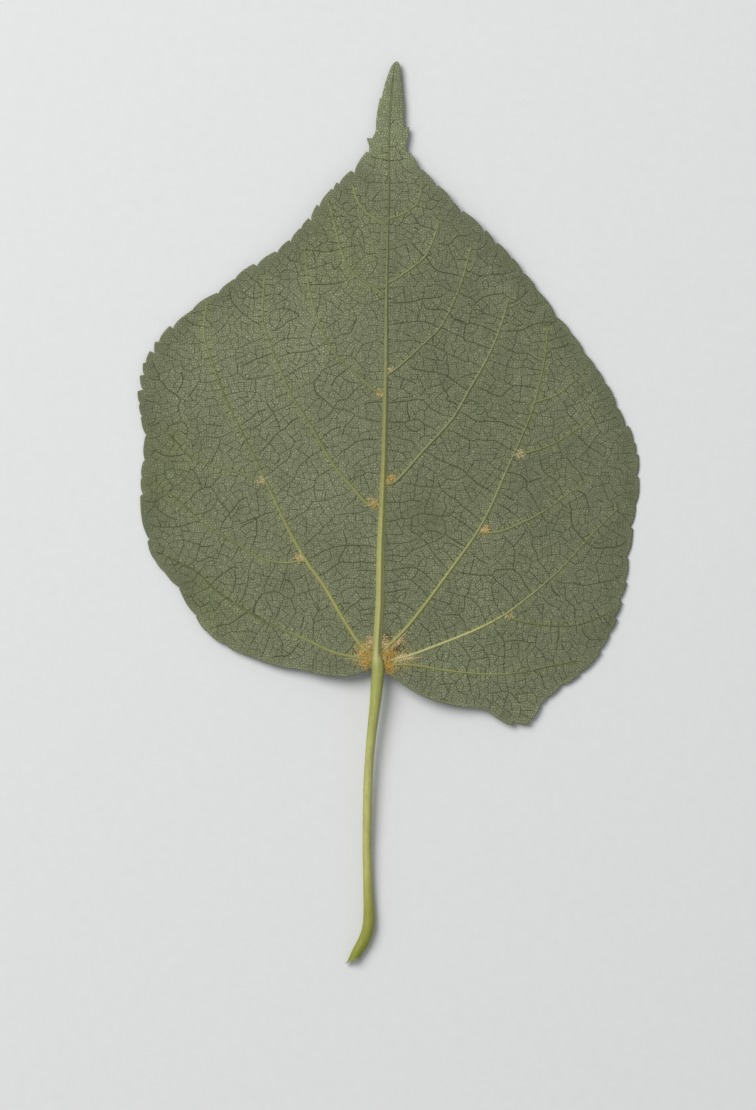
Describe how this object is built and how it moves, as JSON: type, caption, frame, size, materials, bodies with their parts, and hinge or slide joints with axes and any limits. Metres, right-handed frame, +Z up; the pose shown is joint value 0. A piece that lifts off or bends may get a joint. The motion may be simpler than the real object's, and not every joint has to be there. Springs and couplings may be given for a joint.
{
  "type": "linden leaf",
  "caption": "Heart-shaped linden leaf with a toothed margin, raised branching veins, tufts of hair in the vein angles and a slender stalk, lying with its underside up.",
  "frame": {"origin": "middle of the leaf's box seen from above, on the surface that the leaf lies on", "axes": "+Y along the midrib towards the leaf's tip, +X across the blade, +Z up out of the leaf's underside"},
  "size_m": [0.0524, 0.0942, 0.0035],
  "materials": {
    "blade": "matte grey-green leaf underside",
    "vein": "smooth yellow-green",
    "stalk": "smooth yellow-green, olive at the foot",
    "hair": "fine orange-brown hair"
  },
  "bodies": {
    "root": {"blade_left": "blade", "blade_right": "blade", "petiole": "stalk", "midrib": "vein", "basal_vein_left_inner": "vein", "basal_vein_left_outer": "vein", "left_inner_branch_low": "vein", "left_inner_branch_high": "vein", "side_vein_left_1": "vein", "side_vein_left_2": "vein", "side_vein_left_3": "vein", "side_vein_left_4": "vein", "basal_vein_right_inner": "vein", "basal_vein_right_outer": "vein", "basal_vein_right_lowest": "vein", "right_inner_branch_low": "vein", "right_inner_branch_middle": "vein", "right_inner_branch_high": "vein", "right_outer_branch": "vein", "side_vein_right_1": "vein", "side_vein_right_2": "vein", "side_vein_right_3": "vein", "side_vein_right_4": "vein", "hair_tuft_base_left": "hair", "hair_tuft_base_right": "hair", "hair_tuft_left_1": "hair", "hair_tuft_left_2": "hair", "hair_tuft_right_1": "hair", "hair_tuft_right_2": "hair", "hair_tuft_left_branch_low": "hair", "hair_tuft_left_branch_high": "hair", "hair_tuft_right_branch_low": "hair", "hair_tuft_right_branch_middle": "hair", "hair_tuft_right_outer": "hair"}
  },
  "joints": []
}
